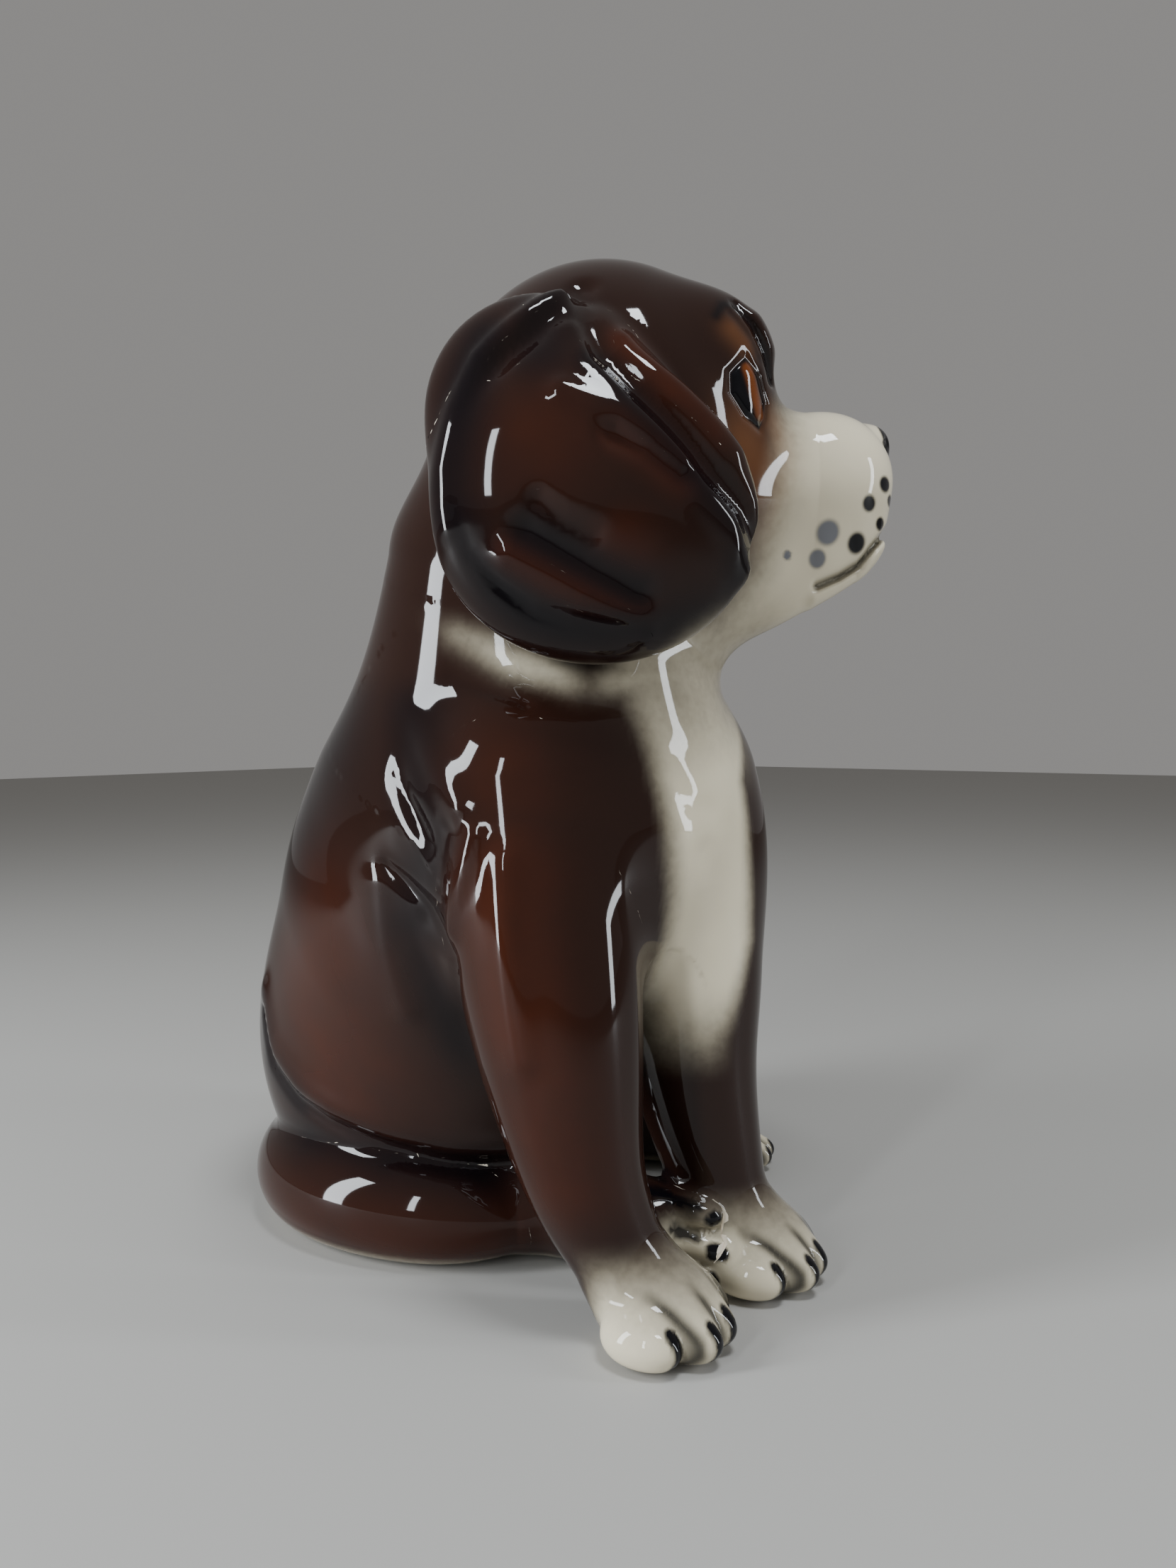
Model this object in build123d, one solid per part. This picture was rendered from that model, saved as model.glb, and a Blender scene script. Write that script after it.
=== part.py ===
from build123d import *
import math
import os

os.makedirs("parts", exist_ok=True)

# A sitting puppy in glazed earthenware, slip-cast as nine pieces and luted together while wet.
# Millimetres. It faces -Y, its left side is +X, its underside is on z = 0.

# ---- torso: a hollow casting, open at the neck ----
WALL = 5.0                # wall of the torso and the head
SEAT_HALF_WIDTH = 50.0    # widest level of the seat
SEAT_HALF_DEPTH = 58.0
SHOULDER_HALF_WIDTH = 46.0
SHOULDER_HALF_DEPTH = 60.0
NECK_HALF_WIDTH = 38.0
NECK_HALF_DEPTH = 44.0
NECK_HEIGHT = 150.0       # level of the luted joint between torso and head
SEAT_X, SEAT_Y = -11.0, 35.0
SHOULDER_X, SHOULDER_Y = -22.25, 9.0
NECK_X, NECK_Y = -26.0, -5.0
BASE_SHARE = 0.62         # how far the underside is drawn in from the seat
VENT_RADIUS = 7.0         # hole in the underside that lets the kiln air out
UNDERSIDE_SET_BACK = 2.0   # the two lowest levels lie this far behind the seat
HEEL_SHARE = 0.06          # heights of the three middle levels, as shares of the neck joint's
SEAT_SHARE = 0.30
SHOULDER_SHARE = 0.73
HEEL_WIDTH_SHARE = 0.78    # size of the level just above the underside, as shares of the seat
HEEL_DEPTH_SHARE = 0.75

# ---- head ----
HEAD_TURN = 44.0          # degrees that the face looks to the dog's left
HEAD_SIDEWAYS = 4.0       # middle of the skull, measured from the middle of the neck joint
HEAD_FORWARD = 19.0
HEAD_ABOVE_NECK = 56.0    # from the neck joint to the middle of the skull
SKULL_HALF_WIDTH = 41.0
SKULL_HALF_LENGTH = 42.0
SKULL_HALF_HEIGHT = 45.0
NAPE_RADIUS = 33.0        # upper end of the neck, inside the skull
NAPE_BACK = 7.0
MUZZLE_FORWARD = 34.0     # middle of the muzzle, in front of the middle of the skull
MUZZLE_DROP = 11.0
MUZZLE_HALF_WIDTH = 21.0
MUZZLE_HALF_HEIGHT = 22.0
MUZZLE_HALF_LENGTH = 40.0

# ---- ears ----
EAR_HALF_THICKNESS = 15.0
EAR_HALF_LENGTH = 37.0
EAR_HALF_HEIGHT = 42.0
EAR_OUT = 39.0            # middle of the ear, beside the middle of the skull
EAR_BACK = 4.0
EAR_DROP = 15.0
EAR_LEAN = 6.0

# ---- forelegs ----
SHOULDER_HEIGHT = 122.0
SHOULDER_RADIUS = 24.0
ELBOW_HEIGHT = 72.0
ELBOW_RADIUS = 20.0
ELBOW_FORWARD = 14.0      # the leg leans forwards by this much down to the elbow
WRIST_HEIGHT = 24.0
WRIST_RADIUS = 12.0
WRIST_FORWARD = 26.0
LEG_SPACING = 45.0        # between the middles of the two forelegs
LEG_SIDEWAYS = -7.0       # middle between the forelegs, beside the middle of the shoulders
LEG_SET_BACK = 29.0       # middle of the upper leg, behind the front of the chest
LEG_BORE_RADIUS = 8.0     # hollow left by the drained slip
LEG_ROOT_INWARD = 8.0      # top of the leg, inside the shoulder, towards the middle and the back
BORE_TOP_INWARD = 4.0      # top of its hollow, likewise
BORE_FOOT_FORWARD = 2.0    # foot of the hollow, in front of the elbow's middle
BORE_FOOT_SHARE = 0.9      # height of the hollow's foot, as a share of the elbow's
BORE_TAPER = 0.7
PAW_ROOT_FORWARD = 5.0     # where the leg enters the paw, in front of the wrist
PAW_HALF_WIDTH = 15.0
PAW_HALF_LENGTH = 19.0
PAW_HALF_HEIGHT = 13.0
PAW_MIDDLE_HEIGHT = 6.0
PAW_FORWARD = 12.0        # middle of the paw, in front of the wrist

# ---- hind legs: hips turned to the dog's left ----
HIP_TURN = 20.0
THIGH_HALF_WIDTH = 24.0
THIGH_HALF_LENGTH = 44.0
THIGH_HALF_HEIGHT = 48.0
THIGH_MIDDLE_HEIGHT = 48.0
THIGH_FORWARD = 8.0        # middle of the thigh, in front of the middle of the seat
FOOT_TURN = 5.0            # degrees that the foot turns further than the hips
FOOT_HALF_WIDTH = 12.0
FOOT_HALF_LENGTH = 31.0
FOOT_HALF_HEIGHT = 12.0
FOOT_MIDDLE_HEIGHT = 10.0
LEFT_FOOT_SIDEWAYS = 47.5   # middle of each hind foot, measured from the middle of the seat
LEFT_FOOT_FORWARD = 48.0
RIGHT_FOOT_SIDEWAYS = 31.5
RIGHT_FOOT_FORWARD = 51.5

# ---- tail ----
TAIL_RADIUS = 15.0
TAIL_TIP_RADIUS = 7.0
TAIL_MIDDLE_HEIGHT = 12.0

LEVELS = 7                # oval levels in each lofted form
END_SHARE = 0.96          # how far along its half length a form's end flat lies


def oval_form(centre, half_width, half_depth, half_height, turn=0.0, lean=0.0):
    """An egg-like form lofted from oval levels, closed by a small flat at each end.

    Where it would reach below the ground, its lowest level lies on the ground.
    """
    lowest = math.asin(max(-END_SHARE, -centre[2] / half_height))
    highest = math.asin(END_SHARE)
    levels = []
    for step in range(LEVELS):
        angle = lowest + (highest - lowest) * step / (LEVELS - 1)
        width = math.cos(angle)
        oval = Ellipse(half_width * width, half_depth * width)
        levels.append(Pos(0, 0, half_height * math.sin(angle)) * oval)
    return Pos(*centre) * Rot(0, 0, turn) * Rot(0, lean, 0) * loft(levels)


def one_solid(shape):
    """The largest solid of a cut shape."""
    return sorted(shape.solids(), key=lambda solid: solid.volume)[-1]


def torso_levels():
    """The torso's oval sections: height, middle and half sizes, from the underside to the neck."""
    base_y = SEAT_Y + UNDERSIDE_SET_BACK
    return [
        (0.0, SEAT_X, base_y, BASE_SHARE * SEAT_HALF_WIDTH, BASE_SHARE * SEAT_HALF_DEPTH),
        (HEEL_SHARE * NECK_HEIGHT, SEAT_X, base_y,
         HEEL_WIDTH_SHARE * SEAT_HALF_WIDTH, HEEL_DEPTH_SHARE * SEAT_HALF_DEPTH),
        (SEAT_SHARE * NECK_HEIGHT, SEAT_X, SEAT_Y, SEAT_HALF_WIDTH, SEAT_HALF_DEPTH),
        (SHOULDER_SHARE * NECK_HEIGHT, SHOULDER_X, SHOULDER_Y, SHOULDER_HALF_WIDTH, SHOULDER_HALF_DEPTH),
        (NECK_HEIGHT, NECK_X, NECK_Y, NECK_HALF_WIDTH, NECK_HALF_DEPTH),
    ]


def torso_block(inset=0.0):
    """The torso as a solid, or its hollow when inset is the wall."""
    levels = torso_levels()
    ovals = []
    for height, x, y, half_width, half_depth in levels:
        level = max(height, inset)
        ovals.append(Pos(x, y, level) * Ellipse(half_width - inset, half_depth - inset))
    if inset:
        del ovals[0]
    return loft(ovals)


def head_place(side=0.0, forward=0.0, up=0.0):
    """A point measured from the middle of the skull, in the turned head."""
    skull_place = Pos(NECK_X + HEAD_SIDEWAYS, NECK_Y - HEAD_FORWARD, NECK_HEIGHT + HEAD_ABOVE_NECK)
    middle = skull_place * Rot(0, 0, HEAD_TURN)
    return tuple((middle * Pos(side, -forward, up)).position)


def skull(inset=0.0):
    centre = head_place()
    return oval_form(
        centre, SKULL_HALF_WIDTH - inset, SKULL_HALF_LENGTH - inset, SKULL_HALF_HEIGHT - inset, HEAD_TURN)


def muzzle(inset=0.0):
    """The muzzle, lofted forwards from inside the skull to the blunt nose."""
    levels = []
    for step in range(LEVELS):
        angle = math.asin(END_SHARE) * step / (LEVELS - 1)
        width = math.cos(angle)
        oval = Ellipse((MUZZLE_HALF_WIDTH - inset) * width, (MUZZLE_HALF_HEIGHT - inset) * width)
        levels.append(Pos(0, 0, (MUZZLE_HALF_LENGTH - inset) * math.sin(angle)) * oval)
    middle = head_place(0, MUZZLE_FORWARD, -MUZZLE_DROP)
    return Pos(*middle) * Rot(0, 0, HEAD_TURN) * Rot(90, 0, 0) * loft(levels)


def neck(inset=0.0):
    """The upper neck, from the luted joint up into the skull."""
    top_x, top_y, top_z = head_place(0, -NAPE_BACK)
    low = Pos(NECK_X, NECK_Y, NECK_HEIGHT) * Ellipse(NECK_HALF_WIDTH - inset, NECK_HALF_DEPTH - inset)
    high = Pos(top_x, top_y, top_z) * Circle(NAPE_RADIUS - inset)
    return loft([low, high])


def head_block(inset=0.0):
    """The head as a solid, or its hollow."""
    return skull(inset) + muzzle(inset) + neck(inset)


def ear(side):
    """One hanging ear, pressed on to the side of the head: side is 1 for left, -1 for right."""
    middle = head_place(side * EAR_OUT, -EAR_BACK, -EAR_DROP)
    return oval_form(
        middle, EAR_HALF_THICKNESS, EAR_HALF_LENGTH, EAR_HALF_HEIGHT, HEAD_TURN, side * EAR_LEAN)


def leg_place(side):
    """Where one foreleg leaves the shoulder."""
    x = SHOULDER_X + LEG_SIDEWAYS + side * LEG_SPACING / 2
    return x, SHOULDER_Y - SHOULDER_HALF_DEPTH + LEG_SET_BACK


def foreleg(side):
    """One foreleg: round levels from inside the shoulder to the wrist, and an oval paw."""
    x, y = leg_place(side)
    rows = [
        (SHOULDER_HEIGHT + SHOULDER_RADIUS, x - side * LEG_ROOT_INWARD, y + LEG_ROOT_INWARD,
         0.5 * SHOULDER_RADIUS),
        (SHOULDER_HEIGHT, x, y, SHOULDER_RADIUS),
        (ELBOW_HEIGHT, x - side, y - ELBOW_FORWARD, ELBOW_RADIUS),
        (WRIST_HEIGHT, x, y - WRIST_FORWARD, WRIST_RADIUS),
        (PAW_MIDDLE_HEIGHT, x + side, y - WRIST_FORWARD - PAW_ROOT_FORWARD, WRIST_RADIUS),
    ]
    levels = [Pos(cx, cy, height) * Circle(radius) for height, cx, cy, radius in rows]
    paw_middle = (x, y - WRIST_FORWARD - PAW_FORWARD, PAW_MIDDLE_HEIGHT)
    paw = oval_form(paw_middle, PAW_HALF_WIDTH, PAW_HALF_LENGTH, PAW_HALF_HEIGHT)
    return loft(levels) + paw


def foreleg_bore(side):
    """The drained hollow down the upper leg, open to the torso."""
    x, y = leg_place(side)
    top = Pos(x - side * BORE_TOP_INWARD, y + BORE_TOP_INWARD, SHOULDER_HEIGHT) * Circle(LEG_BORE_RADIUS)
    foot_place = Pos(x - side, y - ELBOW_FORWARD - BORE_FOOT_FORWARD, BORE_FOOT_SHARE * ELBOW_HEIGHT)
    foot = foot_place * Circle(BORE_TAPER * LEG_BORE_RADIUS)
    return loft([foot, top])


def hip_place(side, forward):
    """A point on the ground measured from the middle of the seat, in the turned hips."""
    middle = Pos(SEAT_X, SEAT_Y, 0) * Rot(0, 0, HIP_TURN)
    return tuple((middle * Pos(side, -forward, 0)).position)


def hind_leg(side, foot_sideways, foot_forward):
    """One folded hind leg: the oval thigh beside the seat and the foot in front of it."""
    thigh_x, thigh_y, ground = hip_place(side * (SEAT_HALF_WIDTH - 0.5 * THIGH_HALF_WIDTH), THIGH_FORWARD)
    thigh_middle = (thigh_x, thigh_y, ground + THIGH_MIDDLE_HEIGHT)
    thigh = oval_form(
        thigh_middle, THIGH_HALF_WIDTH, THIGH_HALF_LENGTH, THIGH_HALF_HEIGHT, HIP_TURN)
    foot_x, foot_y, ground = hip_place(side * foot_sideways, foot_forward)
    foot_middle = (foot_x, foot_y, ground + FOOT_MIDDLE_HEIGHT)
    foot = oval_form(
        foot_middle, FOOT_HALF_WIDTH, FOOT_HALF_LENGTH, FOOT_HALF_HEIGHT, HIP_TURN + FOOT_TURN)
    return thigh + foot


def tail():
    """The tail, from behind the seat round its right side; its turns are shares of the seat."""
    turns = [(0.08, 0.66), (-0.60, 0.71), (-1.00, 0.21), (-0.88, -0.38), (-0.54, -0.74)]
    radii = [TAIL_RADIUS - 4.0, TAIL_RADIUS, TAIL_RADIUS, TAIL_RADIUS - 2.0, TAIL_TIP_RADIUS]
    line = Spline(*[
        (SEAT_X + across * SEAT_HALF_WIDTH, SEAT_Y + along * SEAT_HALF_DEPTH, TAIL_MIDDLE_HEIGHT)
        for across, along in turns
    ])
    sections = []
    for step, radius in enumerate(radii):
        share = step / (len(radii) - 1)
        sections.append(Plane(origin=line @ share, z_dir=line % share) * Circle(radius))
    below = Pos(0, 0, -TAIL_RADIUS) * Box(4 * SEAT_HALF_DEPTH, 4 * SEAT_HALF_DEPTH, 2 * TAIL_RADIUS)
    return loft(sections) - below


# ---- the castings, each cut back to its neighbours' outer surfaces ----
torso_outside = torso_block()
head_outside = head_block()
right_foreleg = foreleg(-1)
left_foreleg = foreleg(1)
right_hind_leg = hind_leg(-1, RIGHT_FOOT_SIDEWAYS, RIGHT_FOOT_FORWARD)
left_hind_leg = hind_leg(1, LEFT_FOOT_SIDEWAYS, LEFT_FOOT_FORWARD)
vent = Pos(SEAT_X, SEAT_Y, WALL) * Cylinder(VENT_RADIUS, 4 * WALL)

castings = {
    "body_shell": torso_outside - torso_block(WALL) - vent,
    "head_shell": head_outside - head_block(WALL),
    "ear_right": ear(-1) - skull() - neck() - torso_outside,
    "ear_left": ear(1) - skull() - neck() - torso_outside,
    "foreleg_right": right_foreleg - torso_outside - foreleg_bore(-1),
    "foreleg_left": left_foreleg - torso_outside - right_foreleg - foreleg_bore(1),
    "hind_leg_right": right_hind_leg - torso_outside - right_foreleg - left_foreleg,
    "hind_leg_left": left_hind_leg - torso_outside - left_foreleg,
    "tail": tail() - torso_outside - right_hind_leg - right_foreleg,
}

# ---- the row's origin: the middle of the whole figure's box, on the ground ----
whole = Compound([one_solid(shape) for shape in castings.values()]).bounding_box()
to_origin = Pos(-whole.center().X, -whole.center().Y, 0)
for name, shape in castings.items():
    casting = to_origin * one_solid(shape)
    export_step(casting, f"parts/{name}.step")
    size = casting.bounding_box().size
    print(f"{name}: {size.X:.1f} x {size.Y:.1f} x {size.Z:.1f} mm, {casting.volume / 1000:.1f} cm3")
print("offset", to_origin.position, "whole", whole.size)
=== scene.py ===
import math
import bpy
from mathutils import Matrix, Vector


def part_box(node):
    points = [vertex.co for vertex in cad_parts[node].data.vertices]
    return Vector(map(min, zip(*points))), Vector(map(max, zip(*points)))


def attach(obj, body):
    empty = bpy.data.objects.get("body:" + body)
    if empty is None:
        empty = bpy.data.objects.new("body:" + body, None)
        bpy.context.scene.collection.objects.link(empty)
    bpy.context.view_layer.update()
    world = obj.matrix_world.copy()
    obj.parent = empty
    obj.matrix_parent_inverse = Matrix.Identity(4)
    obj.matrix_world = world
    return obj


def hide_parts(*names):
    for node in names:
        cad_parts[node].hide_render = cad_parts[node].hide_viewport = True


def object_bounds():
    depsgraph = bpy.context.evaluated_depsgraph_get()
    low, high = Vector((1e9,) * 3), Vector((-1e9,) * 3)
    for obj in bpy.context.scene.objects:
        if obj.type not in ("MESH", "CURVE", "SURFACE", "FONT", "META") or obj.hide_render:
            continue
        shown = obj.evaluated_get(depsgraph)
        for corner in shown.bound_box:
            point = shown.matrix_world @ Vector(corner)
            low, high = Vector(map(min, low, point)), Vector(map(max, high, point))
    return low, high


bl_info = {
    "name": "Glazed Puppy Figurine",
    "version": (1, 0, 0),
    "blender": (4, 5, 0),
    "location": "3D View > Sidebar > Puppy",
    "description": "Models a slip-cast, airbrushed and glazed sitting puppy round its packed frame",
    "category": "Object",
}

import bmesh
import bpy
import numpy as np
from mathutils import Matrix, Vector

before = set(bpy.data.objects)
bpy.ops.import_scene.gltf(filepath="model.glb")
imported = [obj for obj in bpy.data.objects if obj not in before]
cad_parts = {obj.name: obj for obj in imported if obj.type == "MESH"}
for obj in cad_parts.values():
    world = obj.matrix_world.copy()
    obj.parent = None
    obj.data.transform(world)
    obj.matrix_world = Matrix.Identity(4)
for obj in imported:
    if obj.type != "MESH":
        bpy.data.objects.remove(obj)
CAD_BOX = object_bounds()

MM = 0.001
BODY_LOW, BODY_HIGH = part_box("body_shell")
# The clay is modelled on a bench of its own, in millimetres. The middle of the torso casting
# stands at this point of the bench, which ties the bench to the frame.
BENCH_TORSO_X, BENCH_TORSO_Y = -14.9, 19.1
BENCH = np.array([
    (BODY_LOW[0] + BODY_HIGH[0]) / 2 / MM - BENCH_TORSO_X,
    (BODY_LOW[1] + BODY_HIGH[1]) / 2 / MM - BENCH_TORSO_Y,
    0.0,
])


# ---- the puppy's form, as distances on the bench ----
def turned(turn=0.0, pitch=0.0, lean=0.0):
    """Rotation matrix: turn about the upright, then pitch, then lean, in degrees."""
    t, p, n = np.radians([turn, pitch, lean])
    about_up = np.array([[np.cos(t), -np.sin(t), 0], [np.sin(t), np.cos(t), 0], [0, 0, 1]])
    about_side = np.array([[1, 0, 0], [0, np.cos(p), -np.sin(p)], [0, np.sin(p), np.cos(p)]])
    about_front = np.array([[np.cos(n), 0, np.sin(n)], [0, 1, 0], [-np.sin(n), 0, np.cos(n)]])
    return about_up @ about_side @ about_front


HEAD_TURN = 44.0
HEAD_MIDDLE = np.array([-22.0, -24.0, 204.0])
HEAD_AXES = turned(HEAD_TURN)


def ball(centre, half_sizes, turn=0.0, pitch=0.0, lean=0.0):
    """An egg of clay on the bench."""
    return ("ball", np.array(centre, float), np.array(half_sizes, float), turned(turn, pitch, lean))


def limb(*stations):
    """A rolled coil of clay drawn smoothly through stations (x, y, z, radius)."""
    knots = np.array(stations, float)
    count = len(knots)
    system = np.eye(count)
    bend = np.zeros_like(knots)
    for i in range(1, count - 1):
        system[i, i - 1:i + 2] = (1, 4, 1)
        bend[i] = 6 * (knots[i - 1] - 2 * knots[i] + knots[i + 1])
    return ("limb", knots, np.linalg.solve(system, bend))


def along_limb(form, t):
    """Places and radii along a coil at parameters t, with their first and second slopes."""
    _, knots, bends = form
    i = np.clip(t.astype(int), 0, len(knots) - 2)
    u = (t - i)[:, None]
    a, b, bend_a, bend_b = knots[i], knots[i + 1], bends[i], bends[i + 1]
    value = a + (b - a) * u + ((u - u ** 3) * -bend_b + ((1 - u) ** 3 - (1 - u)) * bend_a) / 6
    first = b - a + ((3 * u ** 2 - 1) * bend_b - (3 * (1 - u) ** 2 - 1) * bend_a) / 6
    return value, first, bend_a * (1 - u) + bend_b * u


def head_point(side, forward, up):
    """The bench point at side, forward and up from the middle of the head."""
    return HEAD_MIDDLE + HEAD_AXES @ np.array([side, -forward, up])


def head_ball(place, half_sizes, turn=0.0, pitch=0.0, lean=0.0):
    """An egg placed by side, forward and up from the middle of the head."""
    return ("ball", head_point(*place), np.array(half_sizes, float), HEAD_AXES @ turned(turn, pitch, lean))


def head_limb(*stations):
    """A coil whose stations are placed like a head_ball, each with its radius."""
    return limb(*[(*head_point(*s[:3]), s[3]) for s in stations])


SIDES = {"right": -1, "left": 1}
TORSO = [
    ball((-12, 40, 55), (50, 57, 68), turn=10),
    ball((-27, 20, 93), (46, 50, 61), pitch=-12),
    ball((-21, -23, 114), (38, 34, 44)),
    ball((2, -28, 104), (19, 24, 36)),
    limb((-27, -6, 120, 39), (-23, -14, 172, 34)),
    limb((-33, 10, 128, 33), (-37, 2, 180, 25)),
]
HEAD = [
    head_ball((0, 0, 2), (41, 42, 45)),
    head_ball((14, 24, 21), (14, 14, 14)),
    head_ball((-14, 24, 21), (14, 14, 14)),
    head_limb((0, 20, -8, 26), (0, 50, -8, 18)),
    head_ball((0, 57.5, -5), (17, 14.5, 15)),
    head_limb((0, 22, -31, 19), (0, 42, -27, 14), (0, 60, -21, 9)),
]
NOSE = head_ball((0, 66.5, 3.5), (8, 6, 6))
FORELEGS = {
    "right": [limb((-48, -22, 122, 25), (-52, -31, 84, 22), (-54, -38, 56, 18),
                   (-53, -43, 35, 14), (-48.5, -49, 18, 11)),
              ball((-45.5, -58, 7), (14, 14, 11.5))],
    "left": [limb((-2, -25, 122, 24), (-4, -36, 84, 20), (-7, -40, 56, 17),
                  (-8, -45, 35, 14), (-7, -50, 18, 11)),
             ball((-4.5, -58, 7), (14, 14, 11.5))],
}
HIND_LEGS = {
    "right": [ball((-40, 33, 50), (24, 46, 50), turn=15), limb((-33, 0, 14, 14), (-22.5, -39, 13, 11))],
    "left": [ball((38, 26, 46), (24, 42, 46), turn=25), limb((42, 10, 12, 13), (51, -12, 10, 10))],
}
TAIL = [limb((-8, 79, 14, 12), (-43, 70, 13, 15), (-57, 41, 13, 15), (-50, 10, 13, 14), (-38, -8, 12, 9))]
EARS = {
    name: [head_ball((side * 41, -5, -22), (12, 35.5, 31), lean=side * 5),
           head_ball((side * 37, -15, 0), (12, 27, 30), pitch=-20, lean=side * -12)]
    for name, side in SIDES.items()
}


PAWS = {  # middle of the toes (x, y), turn in degrees, and spacing of the toes
    "foreleg_right": (-47, -67.5, 10, 7.4),
    "foreleg_left": (-6, -67.5, 14, 7.4),
    "hind_leg_left": (55, -18, 25, 6.2),
}
TOE_ROW = ((-1.5, 6.2), (-0.5, 0.0), (0.5, 0.0), (1.5, 5.5))  # spacings across, and how far back
TOE_CUTS = ((-1, 2.5), (0, 0.0), (1, 2.5))  # the grooves between them, likewise
STACKED_TOES = [(-21, -48.5, 18.5), (-22.5, -49.5, 11.5), (-24, -48, 4.8)]  # right hind foot


def paw_toes(x, y, turn, spacing):
    """Four rounded toes across the front of a paw."""
    radius = 0.75 * spacing
    toes = []
    for step, back in TOE_ROW:
        place = turned(turn) @ np.array([step * spacing, back, 0.0])
        toes.append(ball((x + place[0], y + place[1], radius), (radius * 0.95, radius * 1.7, radius), turn))
    return toes


TOES = {name: paw_toes(*place) for name, place in PAWS.items()}
TOES["hind_leg_right"] = [ball(place, (4.6, 9, 4.2), turn=8) for place in STACKED_TOES]


def distance_to_form(points, form):
    """Signed distance from points to one form; well away from it, to a sphere round it."""
    centres = form[1][:, :3] if form[0] == "limb" else [form[1]]
    sizes = form[1][:, 3] if form[0] == "limb" else [form[2].max()]
    middle = np.mean(centres, axis=0)
    reach = max(np.linalg.norm(centre - middle) + size for centre, size in zip(centres, sizes))
    distance = np.linalg.norm(points - middle.astype(np.float32), axis=1) - np.float32(reach)
    near = distance < 26
    if near.any():
        distance[near] = distance_near_form(points[near], form)
    return distance


def distance_near_form(points, form):
    """Signed distance to one form: estimated for a ball, and by Newton steps for a limb."""
    if form[0] == "ball":
        _, centre, half_sizes, axes = form
        local = (points - centre.astype(np.float32)) @ axes.astype(np.float32)
        scaled = local / half_sizes.astype(np.float32)
        length = np.linalg.norm(scaled, axis=1)
        slope = np.linalg.norm(scaled / half_sizes.astype(np.float32), axis=1)
        return length * (length - 1) / np.maximum(slope, 1e-6)
    last = len(form[1]) - 1.0
    guesses = np.linspace(0, last, int(last) * 4 + 1)
    guessed = along_limb(form, guesses)[0][:, :3].astype(np.float32)
    apart = ((points[:, None, :] - guessed[None]) ** 2).sum(axis=2)
    t = guesses[np.argmin(apart, axis=1)]
    for _ in range(4):
        value, first, second = along_limb(form, t)
        away = points - value[:, :3]
        climb = (first[:, :3] ** 2).sum(axis=1) - (away * second[:, :3]).sum(axis=1)
        step = (away * first[:, :3]).sum(axis=1) / np.maximum(climb, 0.2 * (first[:, :3] ** 2).sum(axis=1))
        t = np.clip(t + np.clip(step, -0.25, 0.25), 0, last)
    value = along_limb(form, t)[0]
    return (np.linalg.norm(points - value[:, :3], axis=1) - value[:, 3]).astype(np.float32)


def join(a, b, fillet):
    """The union of two distances, with a fillet of clay worked into the angle."""
    near = np.maximum(fillet - np.abs(a - b), 0) / fillet
    return np.minimum(a, b) - near * near * fillet * 0.25


def distance_to_forms(points, forms, fillet):
    """Signed distance to several forms joined with one fillet."""
    result = distance_to_form(points, forms[0])
    for form in forms[1:]:
        result = join(result, distance_to_form(points, form), fillet)
    return result


def soft(value, low, high):
    """0 below low, 1 above high, and smooth between."""
    share = np.clip((value - low) / (high - low), 0, 1)
    return share * share * (3 - 2 * share)


def stroke(points, line, width):
    """How strongly a tool drawn along line touches each point, from 0 to 1."""
    line = np.array(line, np.float32)
    reach = width * 2.6
    low, high = line.min(axis=0) - reach, line.max(axis=0) + reach
    near = np.all((points > low) & (points < high), axis=1)
    touch = np.zeros(len(points), np.float32)
    if not near.any():
        return touch
    close = points[near]
    nearest = np.full(len(close), 1e9, np.float32)
    if len(line) == 1:
        nearest = np.linalg.norm(close - line[0], axis=1)
    for a, b in zip(line, line[1:]):
        along = b - a
        offset = close - a
        share = np.clip(offset @ along / (along @ along), 0, 1)
        nearest = np.minimum(nearest, np.linalg.norm(offset - share[:, None] * along, axis=1))
    touch[near] = np.exp(-(nearest / width) ** 2)
    return touch


TORSO_FILLETS = (25.0, 20.0, 10.0, 20.0, 18.0)  # round each form of the torso after the first
FILLETS = {  # clay worked into each joint
    "toe": 0.8, "paw": 4.5, "hind_paw": 3.0, "foreleg": 8.0, "shoulder": 9.0, "hip": 9.0, "foot": 4.0,
    "tail": 3.0, "skull": 10.0, "nose": 2.0, "neck": 12.0, "ear": 10.0, "ear_root": 2.5, "seat": 2.5,
}


def torso_and_legs(points):
    """Signed distance to the torso with its legs and tail."""
    body = distance_to_form(points, TORSO[0])
    for form, fillet in zip(TORSO[1:], TORSO_FILLETS):
        body = join(body, distance_to_form(points, form), fillet)
    for name in SIDES:
        leg = distance_to_forms(points, FORELEGS[name], FILLETS["foreleg"])
        toes = distance_to_forms(points, TOES["foreleg_" + name], FILLETS["toe"])
        body = join(body, join(leg, toes, FILLETS["paw"]), FILLETS["shoulder"])
    for name in SIDES:
        thigh, foot = HIND_LEGS[name]
        toes = distance_to_forms(points, TOES["hind_leg_" + name], FILLETS["toe"])
        leg = join(distance_to_form(points, foot), toes, FILLETS["hind_paw"])
        body = join(body, distance_to_form(points, thigh), FILLETS["hip"])
        body = join(body, leg, FILLETS["foot"])
    return join(body, distance_to_form(points, TAIL[0]), FILLETS["tail"])


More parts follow.
